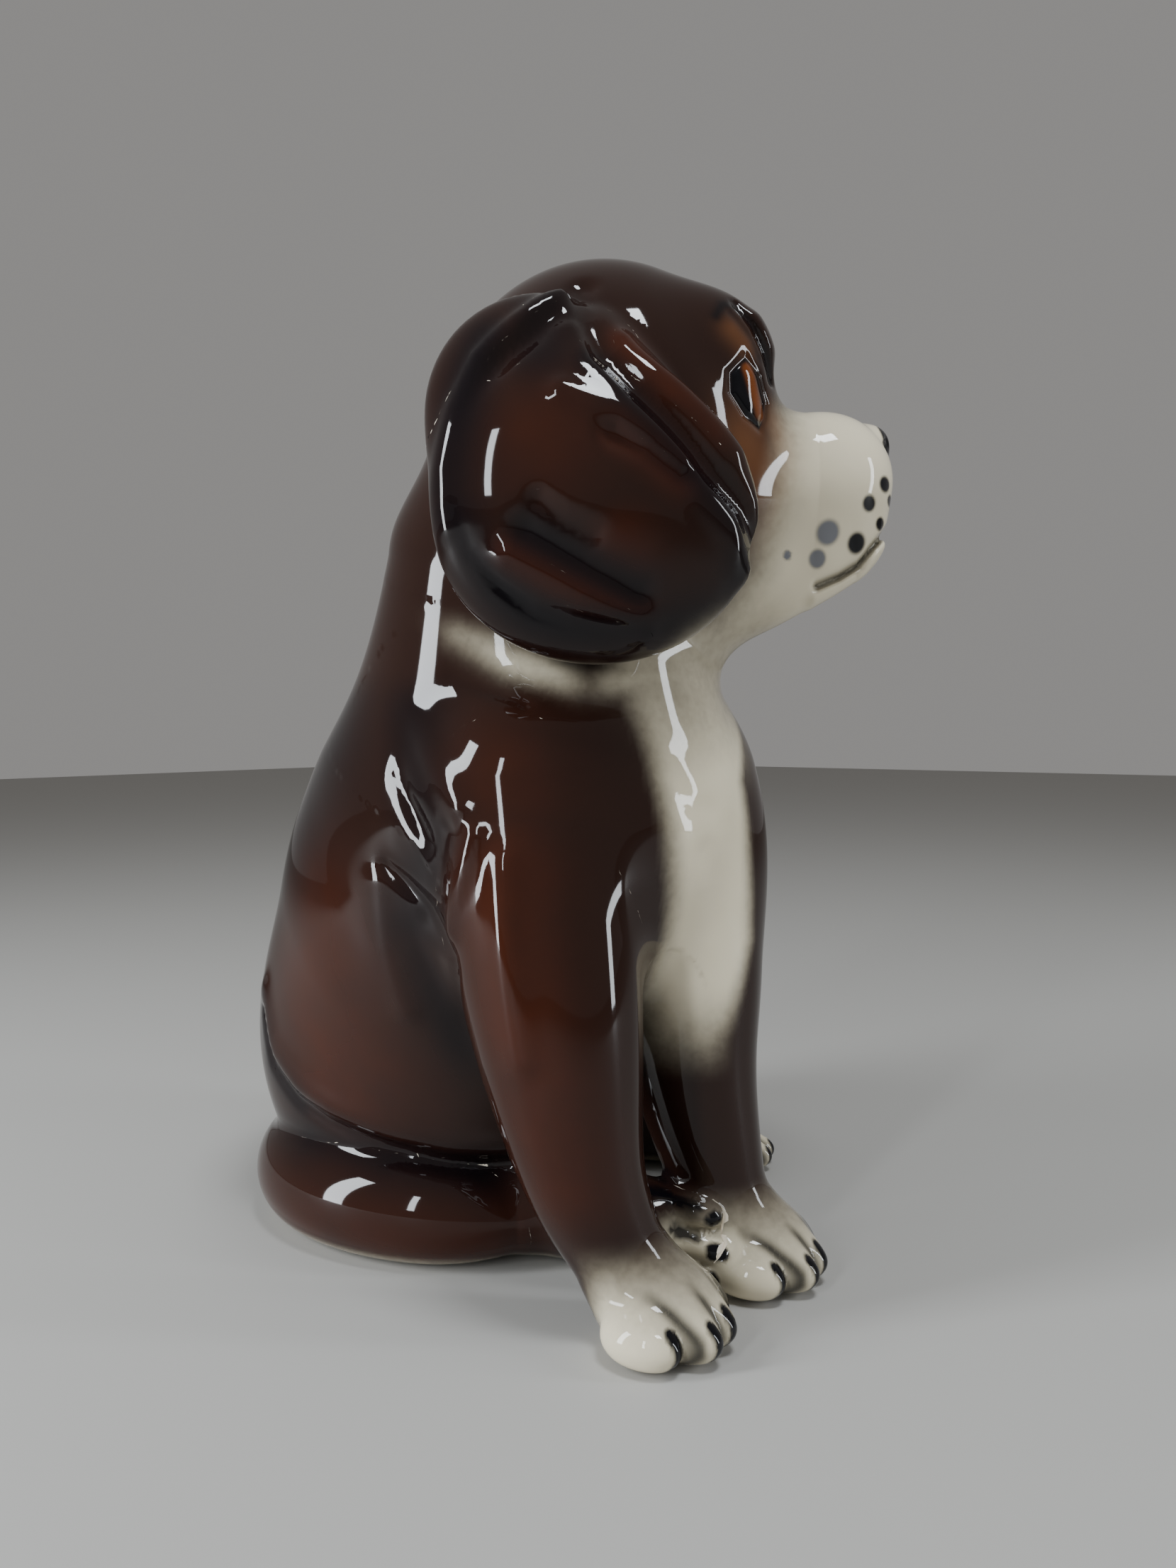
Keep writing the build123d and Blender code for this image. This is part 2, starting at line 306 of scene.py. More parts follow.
def clay(points, detail=True):
    """Signed distance to the whole modelled puppy, in bench millimetres."""
    points = points.astype(np.float32)
    head = distance_to_forms(points, HEAD, FILLETS["skull"])
    head = join(head, distance_to_form(points, NOSE), FILLETS["nose"])
    body = join(torso_and_legs(points), head, FILLETS["neck"])
    for name in SIDES:
        body = join(body, distance_to_forms(points, EARS[name], FILLETS["ear"]), FILLETS["ear_root"])
    if detail:
        body = body - body_marks(points) - face_marks(points)
    return -join(-body, points[:, 2], FILLETS["seat"])


def mirrored_head(points):
    """Points as side, forward and up in the head, with both sides folded on to one."""
    local = (points - HEAD_MIDDLE.astype(np.float32)) @ HEAD_AXES.astype(np.float32)
    return np.stack([np.abs(local[:, 0]), -local[:, 1], local[:, 2]], axis=1)


# lines on the head, as (side, forward, up), or as (forward, up) where two numbers are given
EYE = (26.0, 31.0, 9.0)
EYE_RIM = [(25, 30, 17.5), (29, 26, 13), (30, 26, 8.5), (28, 30, 4), (26, 34, 2), (24, 35.5, 5), (22, 36, 9),
           (23, 33.5, 14), (25, 30, 17.5)]
BROW = [(23, 26), (25, 29.5), (28.5, 30.5), (32.5, 25.5), (36, 19.5), (38, 15)]
LID = [(27, 27.5), (32, 22), (34, 18)]
MOUTH = [(75, -16), (70, -18.5), (66, -22.5), (63, -26.5), (58, -29.5), (52, -32)]
EAR_CREASE = [(31, -7, 32), (42, -7, 22), (47, -4, 12), (50, 3, 4), (50, 12, -5), (49, 19, -13),
              (46, 26, -20), (42, 30, -28)]
EAR_FOLD = [(52, -13, 3), (53, -1, -3), (52, 12, -12)]
EAR_HOLLOW = [(53, -2, -6), (53, 5, -9), (52, 12, -14)]
EAR_DIMPLE = [(53, -18, -20), (53, -13, -24), (53, -7, -27)]
EAR_BAND = [(52, -20, -26), (52, -7, -33), (50, 3, -38)]
EAR_SWIRL = [(50, -24, -31), (50, -9, -39), (47, 5, -46)]
EAR_RIM = [(46, 29, -28), (46, 28, -37), (46, 24, -43), (47, 14, -46), (48, 2, -46), (48, -11, -45),
           (47, -19, -42), (46, -26, -36), (45, -31, -29), (45, -35, -20)]
EAR_BACK = [(34, -7, 33), (42, -20, 22), (44, -30, 12), (44, -35, 0), (45, -37, -12), (44, -36, -24)]
NOSTRIL = [(5.5, 71, 4), (7, 69.5, 2.5)]


def flat_stroke(head, line, width):
    """A stroke seen from the side of the head: line holds (forward, up)."""
    seen = head * np.array([0, 1, 1], np.float32)
    return stroke(seen, [(0, forward, up) for forward, up in line], width)


def eye_groove(head):
    """The line pressed round each eyeball."""
    ring = [(forward, up) for _, forward, up in EYE_RIM]
    return flat_stroke(head, ring, 1.0) * (head[:, 0] > 12) * (head[:, 0] < 40)


def face_marks(points):
    """Clay added (+) and taken away (-) on the head and ears, in millimetres, alike on both sides."""
    head = mirrored_head(points)
    side = head[:, 0]
    return (
        1.0 * flat_stroke(head, [(f + 2, up + 3) for f, up in BROW[3:5]], 3.0) * soft(side, 10, 18)
        - 1.2 * flat_stroke(head, BROW[2:], 1.3) * soft(side, 12, 19)
        - 0.4 * flat_stroke(head, LID, 1.6) * soft(side, 12, 18)
        - 0.6 * eye_groove(head)
        + 0.8 * stroke(head, [(27, 30.5, 12), (27, 32, 7)], 3.2)
        - 1.6 * flat_stroke(head, MOUTH, 1.1)
        + 0.9 * flat_stroke(head, [(f + 0.5, up - 3.5) for f, up in MOUTH[1:]], 2.2)
        - 1.6 * stroke(head, NOSTRIL, 1.2)
        - 0.9 * stroke(head, [(0, 75, -2), (0, 74, -17)], 0.9)
        - 2.8 * stroke(head, EAR_CREASE, 2.7)
        + 1.4 * stroke(head, [(a, b - 4, c - 5) for a, b, c in EAR_CREASE[1:]], 3.0)
        + 1.2 * stroke(head, [(a - 3, b + 5, c + 5) for a, b, c in EAR_CREASE[2:6]], 4.0)
        + 1.5 * stroke(head, EAR_FOLD, 3.0)
        - 2.4 * stroke(head, EAR_HOLLOW, 3.2)
        - 1.3 * stroke(head, EAR_DIMPLE, 2.6)
        - 1.6 * stroke(head, EAR_BAND, 3.6)
        + 1.8 * stroke(head, EAR_SWIRL, 3.6)
        - 1.3 * stroke(head, EAR_RIM, 2.4)
        + 1.4 * stroke(head, EAR_BACK, 2.6)
        - 1.2 * stroke(head, [(a, b + 6, c - 1) for a, b, c in EAR_BACK[1:]], 3.0)
    )


# lines on the body, on the bench
LEG_CREASE = [(-71, -10, 93), (-69, -18, 84), (-62, -14, 68), (-60, -16, 54), (-63, -24, 44)]
THIGH_EDGE = [(-64, 63, 59), (-66, 58, 46), (-67, 46, 38), (-66, 34, 34), (-61, 21, 31), (-57, 11, 29),
              (-52, 3, 27), (-42, -7, 26)]


def body_marks(points):
    """Creases, folds and locks of fur modelled into the body, in millimetres."""
    return (
        -2.0 * stroke(points, LEG_CREASE, 3.4)
        - 1.6 * stroke(points, THIGH_EDGE, 2.2)
        + 1.4 * stroke(points, [(x + 1, y, z + 6) for x, y, z in THIGH_EDGE], 4.0)
        + 1.6 * stroke(points, [(-64, -2, 142), (-69, -12, 132), (-73, -24, 120)], 3.5)
        - 1.4 * stroke(points, [(-60, 4, 140), (-68, -2, 126), (-72, -12, 112)], 3.5)
        + 1.4 * stroke(points, [(-73, -28, 114), (-74, -24, 102), (-73, -20, 92)], 3.0)
        - 1.3 * stroke(points, [(-74, -20, 114), (-74, -15, 102)], 2.5)
        + 1.4 * stroke(points, [(-72, -36, 108), (-74, -38, 88), (-72, -41, 66)], 4.0)
        + 1.3 * stroke(points, [(-69, 7, 100), (-68, 5, 84), (-66, 2, 70)], 3.5)
        - 1.2 * stroke(points, [(-70, 3, 105), (-71, -14, 92)], 2.4)
        - 0.4 * stroke(points, [(-36, -54, 126), (-30, -56, 119), (-24, -57, 118)], 3.5)
        - 0.3 * stroke(points, [(-32, -53, 132), (-24, -56, 128), (-16, -57, 130)], 3.5)
        - 0.6 * stroke(points, [(-25, -57, 108), (-20, -58, 100), (-18, -57, 88)], 3.5)
        - 0.8 * stroke(points, [(-62, -28, 148), (-54, -42, 143), (-40, -51, 142)], 2.2)
        - 0.7 * stroke(points, [(-66, -14, 150), (-60, -32, 142)], 2.0)
    )


def slope(points, step=0.35, detail=True):
    """Outward direction of the clay's surface at points."""
    gradient = np.zeros((len(points), 3), np.float32)
    for axis in range(3):
        shift = np.zeros(3, np.float32)
        shift[axis] = step
        gradient[:, axis] = clay(points + shift, detail) - clay(points - shift, detail)
    return gradient / np.maximum(np.linalg.norm(gradient, axis=1, keepdims=True), 1e-9)


# ---- working the clay in the mesh ----
def lay_form(bm, form):
    """Puts one rough ball or limb of clay into the bmesh, in metres on the bench."""
    if form[0] == "ball":
        _, centre, half_sizes, axes = form
        place = Matrix.Translation(Vector(centre * MM)) @ Matrix(axes.tolist()).to_4x4()
        stretch = Matrix.Diagonal((*(half_sizes * MM), 1.0))
        bmesh.ops.create_icosphere(bm, subdivisions=4, radius=1.0, matrix=place @ stretch)
        return
    last = len(form[1]) - 1
    stops = along_limb(form, np.linspace(0, last, last * 3 + 1))[0]
    for pair in zip(stops, stops[1:]):
        link = bmesh.new()
        for stop in pair:
            place = Matrix.Translation(Vector(stop[:3] * MM))
            bmesh.ops.create_icosphere(link, subdivisions=3, radius=stop[3] * MM, matrix=place)
        bmesh.ops.delete(link, geom=link.edges[:], context="EDGES_FACES")
        hull = bmesh.ops.convex_hull(link, input=link.verts)
        spare = [v for v in hull["geom_interior"] if isinstance(v, bmesh.types.BMVert)]
        bmesh.ops.delete(link, geom=spare, context="VERTS")
        bmesh.ops.recalc_face_normals(link, faces=link.faces)
        mesh = bpy.data.meshes.new("link")
        link.to_mesh(mesh)
        link.free()
        bm.from_mesh(mesh)
        bpy.data.meshes.remove(mesh)


def new_object(name, bm):
    """Makes an object of the bmesh, which is used up."""
    mesh = bpy.data.meshes.new(name)
    bm.to_mesh(mesh)
    bm.free()
    made = bpy.data.objects.new(name, mesh)
    bpy.context.scene.collection.objects.link(made)
    return made


def apply_modifiers(made):
    """Bakes the object's modifiers into its mesh."""
    graph = bpy.context.evaluated_depsgraph_get()
    finished = bpy.data.meshes.new_from_object(made.evaluated_get(graph), depsgraph=graph)
    made.modifiers.clear()
    made.data = finished


def keep_outer_shell(mesh):
    """Drops the small shells shut inside the clay and keeps the largest one."""
    bm = bmesh.new()
    bm.from_mesh(mesh)
    left = set(bm.verts)
    shells = []
    while left:
        shell, edge_of_work = set(), [left.pop()]
        while edge_of_work:
            vert = edge_of_work.pop()
            shell.add(vert)
            for edge in vert.link_edges:
                other = edge.other_vert(vert)
                if other in left:
                    left.remove(other)
                    edge_of_work.append(other)
        shells.append(shell)
    outer = max(shells, key=len)
    spare = [vert for shell in shells if shell is not outer for vert in shell]
    bmesh.ops.delete(bm, geom=spare, context="VERTS")
    bm.to_mesh(mesh)
    bm.free()


def remesh(made, grain):
    """Works all the closed forms of the object into one skin, of this grain in metres."""
    voxels = made.modifiers.new("knead", "REMESH")
    voxels.mode = "VOXEL"
    voxels.voxel_size = grain
    apply_modifiers(made)
    keep_outer_shell(made.data)


def boolean(made, tool, operation):
    """Cuts the object with another one."""
    cut = made.modifiers.new("cut", "BOOLEAN")
    cut.operation = operation
    cut.solver = "MANIFOLD"
    cut.object = tool
    apply_modifiers(made)
    if not made.data.polygons:
        raise RuntimeError("nothing is left of " + made.name + " after a cut")


def read(things, key, kind, width=1):
    """One property of every vertex, corner or face, as an array."""
    values = np.empty(len(things) * width, kind)
    things.foreach_get(key, values)
    return values.reshape(-1, width) if width > 1 else values


def bench_points(mesh):
    """The mesh's vertices on the bench, in millimetres."""
    return read(mesh.vertices, "co", np.float32, 3) / MM - BENCH.astype(np.float32)


def put_points(mesh, points):
    """Moves the mesh's vertices to these bench points."""
    places = (points + BENCH.astype(np.float32)) * MM
    mesh.vertices.foreach_set("co", places.astype(np.float32).ravel())
    mesh.update()


LONGEST_MOVE = 2.5  # of a vertex in one round


def settle(mesh, rounds, detail=True):
    """Moves every vertex on to the modelled surface."""
    points = bench_points(mesh)
    for _ in range(rounds):
        outward = slope(points, detail=detail)
        gap = np.clip(clay(points, detail), -LONGEST_MOVE, LONGEST_MOVE)
        points = points - outward * gap[:, None]
    put_points(mesh, points)


def even_out(mesh, rounds, strength=0.5):
    """Relaxes the spacing of the vertices along the surface."""
    bm = bmesh.new()
    bm.from_mesh(mesh)
    for _ in range(rounds):
        bmesh.ops.smooth_vert(
            bm, verts=bm.verts, factor=strength, use_axis_x=True, use_axis_y=True, use_axis_z=True)
    bm.to_mesh(mesh)
    bm.free()


def refine(mesh, regions):
    """Halves the mesh inside the balls (centre, radius) where fine detail is modelled."""
    points = bench_points(mesh)
    inside = np.zeros(len(points), bool)
    for centre, radius in regions:
        inside |= np.linalg.norm(points - np.array(centre, np.float32), axis=1) < radius
    bm = bmesh.new()
    bm.from_mesh(mesh)
    edges = [e for e in bm.edges if inside[e.verts[0].index] and inside[e.verts[1].index]]
    bmesh.ops.subdivide_edges(bm, edges=edges, cuts=1, use_grid_fill=True)
    bmesh.ops.triangulate(bm, faces=[f for f in bm.faces if len(f.verts) > 4])
    bm.to_mesh(mesh)
    bm.free()


def swollen(form, margin):
    """The same form, larger all round by margin."""
    if form[0] == "ball":
        return ("ball", form[1], form[2] + margin, form[3])
    return ("limb", form[1] + np.array([0, 0, 0, margin]), form[2])


def cutter(forms, margin):
    """A closed solid round some forms, for cutting their casting out of the skin."""
    bm = bmesh.new()
    for form in forms:
        lay_form(bm, swollen(form, margin))
    bmesh.ops.translate(bm, verts=bm.verts, vec=Vector(BENCH * MM))
    made = new_object("cutter", bm)
    remesh(made, ROUGH_GRAIN)
    give_materials(made.data, BISQUE)
    return made


def block(low, high):
    """A plain block between two bench corners, for cutting."""
    low, high = Vector(low), Vector(high)
    bm = bmesh.new()
    middle = (low + high) / 2 + Vector(BENCH)
    size = Matrix.Diagonal((*((high - low) * MM), 1.0))
    bmesh.ops.create_cube(bm, size=1.0, matrix=Matrix.Translation(middle * MM) @ size)
    made = new_object("block", bm)
    give_materials(made.data, BISQUE)
    return made


# ---- airbrushed colours and painted shade ----
def between(values, places, marks):
    """The line drawn straight from mark to mark at the given places, read at each value."""
    return np.interp(values, places, marks).astype(np.float32)


# place (forward, up), radius, and 1 where the brush left a soft blue-grey spot
FRECKLES = [((67.5, -8), 1.7, 0), ((63, -13), 1.7, 0), ((67.5, -17), 1.4, 0), ((53, -20), 2.6, 1),
            ((61, -22), 2.2, 0), ((51, -26), 2.0, 1), ((43, -25.5), 1.0, 1), ((70.5, -11), 1.2, 0)]


def paint_body(points):
    """Cream, black and red-brown sprayed on the torso, legs and tail, with the cream dimmed up the neck as
    painted shade under the head.
    """
    x, y, z = points.T
    near_edge = between(z, [40, 66, 86, 106, 124, 142, 160], [-25, -26, -30, -35, -38, -41, -46])
    far_edge = between(z, [60, 70, 84, 95, 106, 124, 140, 156], [-15, -11, -5, -5, -6, -7, 4, 22])
    cream = soft(x - near_edge, -5, 5) * soft(far_edge - x, -4, 4) * soft(-y, 24, 40) * soft(z, 50, 76)
    throat = stroke(points, [(-18, -50, 152), (-14, -56, 142)], 15) * soft(z, 112, 136)
    cream = np.maximum(cream, 0.75 * throat)
    # Painted shade under the head: the cream is dimmed by half up the neck.
    cream *= 1 - 0.5 * soft(z, 122, 146)
    under_ear = [(-58, -2, 166), (-60, -12, 159), (-58, -26, 152), (-52, -45, 148), (-28, -50, 149)]
    cream = np.maximum(cream, 0.62 * stroke(points, under_ear, 3.4))
    cream = np.maximum(cream, soft(-z, -26, -3) * soft(-y, 45, 55))
    for line in ([(-25, -44, 11), (-21, -58, 11)], [(50, -10, 6), (56, -22, 5)]):
        cream = np.maximum(cream, 0.9 * soft(stroke(points, line, 10), 0.4, 0.8))
    cream = np.maximum(cream, 0.55 * soft(-z, -5, -1))
    above_tail = [(-8, 84, 28), (-48, 74, 28), (-62, 44, 28), (-58, 18, 26), (-46, -2, 24)]
    black = 0.85 * stroke(points, above_tail, 9)
    black = np.maximum(black, 0.8 * stroke(points, [(-64, 66, 62), (-66, 62, 46), (-66, 46, 37)], 7))
    black = np.maximum(black, 0.85 * stroke(points, [(-52, 40, 150), (-58, 34, 132), (-58, 58, 104)], 24))
    black = np.maximum(black, 0.7 * stroke(points, [(-66, -4, 140), (-72, -14, 112), (-70, -4, 92)], 11))
    black = np.maximum(black, 0.75 * stroke(points, [(-66, 0, 92), (-60, -10, 60), (-60, -20, 40)], 7))
    black = np.maximum(black, 0.7 * stroke(points, THIGH_EDGE, 5))
    red = stroke(points, [(-64, 32, 84), (-64, 28, 52)], 24)
    red = np.maximum(red, stroke(points, [(-72, -34, 104), (-72, -40, 70), (-66, -48, 40)], 13))
    red = np.maximum(red, 0.8 * stroke(points, [(-66, 56, 6), (-66, 20, 6), (-50, -8, 6)], 12))
    red = np.maximum(red, 0.6 * stroke(points, [(-66, -32, 128)], 14))
    return cream, black, red


def paint_head(head):
    """Cream, black, red-brown and tan sprayed on the head and ears, with the cream dimmed under the jaw as
    painted shade.
    """
    side, forward, up = head.T
    muzzle_edge = between(up, [-60, -45, -30, -15, 0, 8, 14], [12, 24, 38, 42, 45, 46, 49])
    cream = soft(forward - muzzle_edge, -11, 7)
    cream = np.maximum(cream, soft(-up, 40, 50) * soft(forward, 8, 26))
    # Painted shade under the jaw and on the neck: the cream is dimmed by half there.
    cream *= 1 - 0.5 * soft(-up, 28, 48) * soft(-forward, -58, -36)
    off_ear = 1 - soft(side - between(forward, [-40, 10, 30, 40], [36, 40, 44, 60]), -2, 2)
    cream = cream * off_ear
    black = 0.95 * stroke(head, [(a, b, c - 1) for a, b, c in EAR_RIM], 7.5)
    black = np.maximum(black, 0.9 * stroke(head, EAR_BAND, 5.5))
    black = np.maximum(black, 0.9 * stroke(head, [(a, b - 3, c - 3) for a, b, c in EAR_CREASE[2:]], 5))
    black = np.maximum(black, 0.85 * stroke(head, [(44, -30, 18), (46, -34, 0), (45, -36, -16)], 8))
    black = np.maximum(black, 0.7 * stroke(head, [(38, -14, 33), (48, -18, 14)], 10))
    black = np.maximum(black, 0.8 * flat_stroke(head, BROW, 1.4) * soft(side, 12, 18))
    black = np.maximum(black, 0.5 * flat_stroke(head, LID, 1.2) * soft(side, 12, 18))
    red = stroke(head, EAR_HOLLOW, 5)
    red = np.maximum(red, stroke(head, [(52, 0, -29)], 7))
    red = np.maximum(red, 0.9 * stroke(head, EAR_SWIRL, 5))
    red = np.maximum(red, stroke(head, [(44, 2, 16), (48, 10, 4), (46, 18, -4)], 5))
    red = np.maximum(red, 0.7 * stroke(head, [(52, -16, -8)], 12))
    tan = 0.9 * stroke(head, [(30, 30, -4), (27, 36, -10)], 10)
    tan = np.maximum(tan, 0.8 * stroke(head, [(22, 41, 4), (20, 42, -6), (24, 38, -24)], 6))
    tan = np.maximum(tan, 0.6 * flat_stroke(head, [(27, 23), (30, 20)], 3.5) * (side > 10))
    return cream, black, red, tan


def paint_face(head):
    """Crisp marks: eyes, nose, freckles and mouth, as black, blue-grey and amber."""
    across = head[:, 0]
    black = soft(flat_stroke(head, [(71.5, 7.5), (73, 1)], 4.0), 0.42, 0.6) * soft(-across, -9.5, -7.5)
    black = np.maximum(black, 0.85 * flat_stroke(head, MOUTH, 1.0))
    black = np.maximum(black, 0.6 * stroke(head, [(0, 75, -2), (0, 75, -17)], 0.8))
    grey = np.zeros(len(head), np.float32)
    for place, radius, soft_blue in FRECKLES:
        spot = flat_stroke(head, [place], radius * 1.4) * soft(across, 2, 4)
        black = np.maximum(black, (0.8 if soft_blue else 1.0) * soft(spot, 0.35, 0.7))
        if soft_blue:
            grey = np.maximum(grey, soft(spot, 0.3, 0.7))
    forward, up = head[:, 1], head[:, 2]
    eye = in_outline(forward, up, [(b, c) for _, b, c in EYE_RIM[:-1]])
    eye *= soft(across, 14, 17) * soft(forward, 16, 22)
    iris = eye * np.exp(-(near_line(forward, up, (30.5, 14.5), (34, 5.5)) / 1.5) ** 4)
    black = np.maximum(black * (1 - eye), eye * (1 - iris))
    return black, grey, iris, eye


def near_line(u, v, a, b):
    """Distance in the flat from (u, v) to the line between a and b."""
    along = np.array(b, float) - a
    share = np.clip(((u - a[0]) * along[0] + (v - a[1]) * along[1]) / (along @ along), 0, 1)
    return np.hypot(u - a[0] - share * along[0], v - a[1] - share * along[1])


def in_outline(u, v, corners, edge=0.35):
    """1 inside a flat outline, 0 outside, with a soft edge."""
    inside = np.zeros(len(u), bool)
    distance = np.full(len(u), 1e9)
    for a, b in zip(corners, corners[1:] + corners[:1]):
        distance = np.minimum(distance, near_line(u, v, a, b))
        crosses = (a[1] > v) != (b[1] > v)
        slant = (b[0] - a[0]) / (b[1] - a[1]) if a[1] != b[1] else 0.0
        inside ^= crosses & (u < a[0] + (v - a[1]) * slant)
    return soft(np.where(inside, distance, -distance), -edge, edge).astype(np.float32)


def plan_stroke(points, line, width):
    """A stroke seen from above: line holds (x, y)."""
    return stroke(points * np.array([1, 1, 0], np.float32), [(x, y, 0) for x, y in line], width)


def toe_marks(points):
    """Black in the grooves between the toes and on the nails."""
    marks = np.zeros(len(points), np.float32)
    for x, y, turn, spacing in PAWS.values():
        axes = turned(turn)[:2, :2]
        for step, back in TOE_CUTS:
            ends = ((step * spacing, back + 7), (step * spacing * 1.05, back - 9))
            marks = np.maximum(marks, 0.9 * plan_stroke(points, [axes @ end + (x, y) for end in ends], 1.3))
        for step, back in TOE_ROW:
            nail = [axes @ (step * spacing, back - reach) + (x, y) for reach in (7.6, 9.5)]
            marks = np.maximum(marks, soft(plan_stroke(points, nail, 2.1), 0.25, 0.6))
    marks *= soft(-points[:, 2], -17, -12)
    for x, y, z in STACKED_TOES:
        nail = stroke(points, [(x - 1, y - 8.5, z), (x, y - 10, z)], 2.6)
        groove = stroke(points, [(x - 5, y + 9, z + 4.5), (x - 3, y - 6, z + 3.5)], 2.2)
        marks = np.maximum.reduce([marks, soft(nail, 0.3, 0.6), 0.95 * soft(groove, 0.25, 0.7)])
    return marks


def airbrush_and_painted_shade(points, normals):
    """Strengths of the stains: cream, black, red-brown, tan; and amber, blue-grey and two unused. The black
    holds painted shade in the hollows besides the sprayed black, and the cream is dimmed as painted shade
    under the head and jaw.
    """
    head = mirrored_head(points)
    in_head = soft(points[:, 2], 144, 154)
    # How shut in each point is; the black laid where it is shut in is partly airbrushed black in the
    # recesses and partly painted shade.
    open_air = np.clip(clay(points + normals * 3.0) / 3.0, 0, 1)
    airbrush_and_shade_in_hollows = soft(1 - open_air, 0.2, 0.7)
    body_cream, body_black, body_red = paint_body(points)
    cream, black, red, tan = paint_head(head)
    cream = np.maximum(cream * in_head, body_cream * (1 - soft(points[:, 2], 158, 168)))
    ear_zone = soft(head[:, 0], 40, 46) * in_head
    cream *= 1 - ear_zone * soft(head[:, 2], -54, -50)
    black = np.maximum(black * in_head, body_black * (1 - in_head))
    red = np.maximum(red * in_head, body_red * (1 - in_head))
    instep = soft(stroke(points, [(-32, -12, 24), (-28, -28, 24)], 7), 0.35, 0.7)
    cream = cream * (1 - 0.9 * instep)
    # Black in the hollows here is partly airbrushed black and partly painted shade.
    black = np.maximum.reduce([
        black * (1 - 0.9 * cream), 0.9 * airbrush_and_shade_in_hollows * (1 - 0.5 * cream), toe_marks(points), 0.95 * instep])
    face_black, grey, iris, eye = (mask * in_head for mask in paint_face(head))
    black = np.maximum(black * (1 - eye), face_black)
    none = np.zeros(len(points), np.float32)
    stains = np.stack([cream, black, red, tan * in_head], axis=1)
    accents = np.stack([iris, grey, none, none], axis=1)
    return np.clip(stains, 0, 1).astype(np.float32), np.clip(accents, 0, 1).astype(np.float32)


# ---- glaze ----
def colour(rgb):
    """A linear colour from screen values 0 to 255."""
    return tuple((v / 255) ** 2.2 for v in rgb) + (1.0,)


def mix_colour(tree, mask, under, over):
    """Lays one colour over another by a mask and returns the mixed socket."""
    mix = tree.nodes.new("ShaderNodeMix")
    mix.data_type = "RGBA"
    for socket, value in ((mix.inputs[0], mask), (mix.inputs[6], under), (mix.inputs[7], over)):
        if isinstance(value, bpy.types.NodeSocket):
            tree.links.new(value, socket)
        else:
            socket.default_value = value
    return mix.outputs[2]


def cloud(tree, place, scale, detail, low, high):
    """A soft mottle from 0 to 1 on object places."""
    noise = tree.nodes.new("ShaderNodeTexNoise")
    noise.inputs["Scale"].default_value = scale
    noise.inputs["Detail"].default_value = detail
    tree.links.new(place, noise.inputs["Vector"])
    spread = tree.nodes.new("ShaderNodeMapRange")
    spread.inputs["From Min"].default_value = low
    spread.inputs["From Max"].default_value = high
    tree.links.new(noise.outputs["Fac"], spread.inputs["Value"])
    return spread.outputs["Result"]


def combine(tree, operation, *values):
    """One arithmetic step on sockets or numbers, kept between 0 and 1."""
    step = tree.nodes.new("ShaderNodeMath")
    step.operation = operation
    step.use_clamp = True
    for socket, value in zip(step.inputs, values):
        if isinstance(value, bpy.types.NodeSocket):
            tree.links.new(value, socket)
        else:
            socket.default_value = value
    return step.outputs[0]


def stain_group(sizes):
    """Node group: the colour of the stains under the glaze, with the painted shade in them, and the height
    of its ripples.
    """
    tree = bpy.data.node_groups.new("stains_and_shade_under_glaze", "ShaderNodeTree")
    tree.interface.new_socket("Color", in_out="OUTPUT", socket_type="NodeSocketColor")
    tree.interface.new_socket("Height", in_out="OUTPUT", socket_type="NodeSocketFloat")
    out = tree.nodes.new("NodeGroupOutput")
    place = tree.nodes.new("ShaderNodeTexCoord").outputs["Object"]
    masks = []
    for name in ("stain", "accent"):
        stored = tree.nodes.new("ShaderNodeAttribute")
        stored.attribute_name = name
        split = tree.nodes.new("ShaderNodeSeparateColor")
        tree.links.new(stored.outputs["Color"], split.inputs["Color"])
        masks += [*(split.outputs[key] for key in ("Red", "Green", "Blue")), stored.outputs["Alpha"]]
    cream, black, red, tan, amber, grey = masks[:6]
    mottle = cloud(tree, place, 45.0, 3.0, 0.3, 0.7)
    spatter = cloud(tree, place, 420.0, 2.0, 0.35, 0.75)
    red = combine(tree, "MULTIPLY", red, combine(tree, "MULTIPLY_ADD", mottle, 0.6, 0.55))
    mixed = mix_colour(tree, red, (*sizes.chocolate, 1), (*sizes.red_brown, 1))
    mixed = mix_colour(tree, tan, mixed, (*sizes.tan, 1))
    fringe = combine(tree, "MULTIPLY", cream, combine(tree, "SUBTRACT", 1.0, cream))
    grain = combine(tree, "MULTIPLY", fringe, combine(tree, "MULTIPLY", spatter, 0.35))
    mixed = mix_colour(tree, combine(tree, "SUBTRACT", cream, grain), mixed, (*sizes.cream, 1))
    black = combine(tree, "MULTIPLY", black, combine(tree, "ADD", mottle, 1.0))
    ink = mix_colour(tree, grey, (*sizes.blue_black, 1), (*sizes.blue_grey, 1))
    mixed = mix_colour(tree, black, mixed, ink)
    mixed = mix_colour(tree, amber, mixed, (*sizes.amber, 1))
    tree.links.new(mixed, out.inputs["Color"])
    ripple = cloud(tree, place, 70.0, 2.0, 0.2, 0.8)
    tree.links.new(ripple, out.inputs["Height"])
    return tree


GLAZE_IOR = 1.36


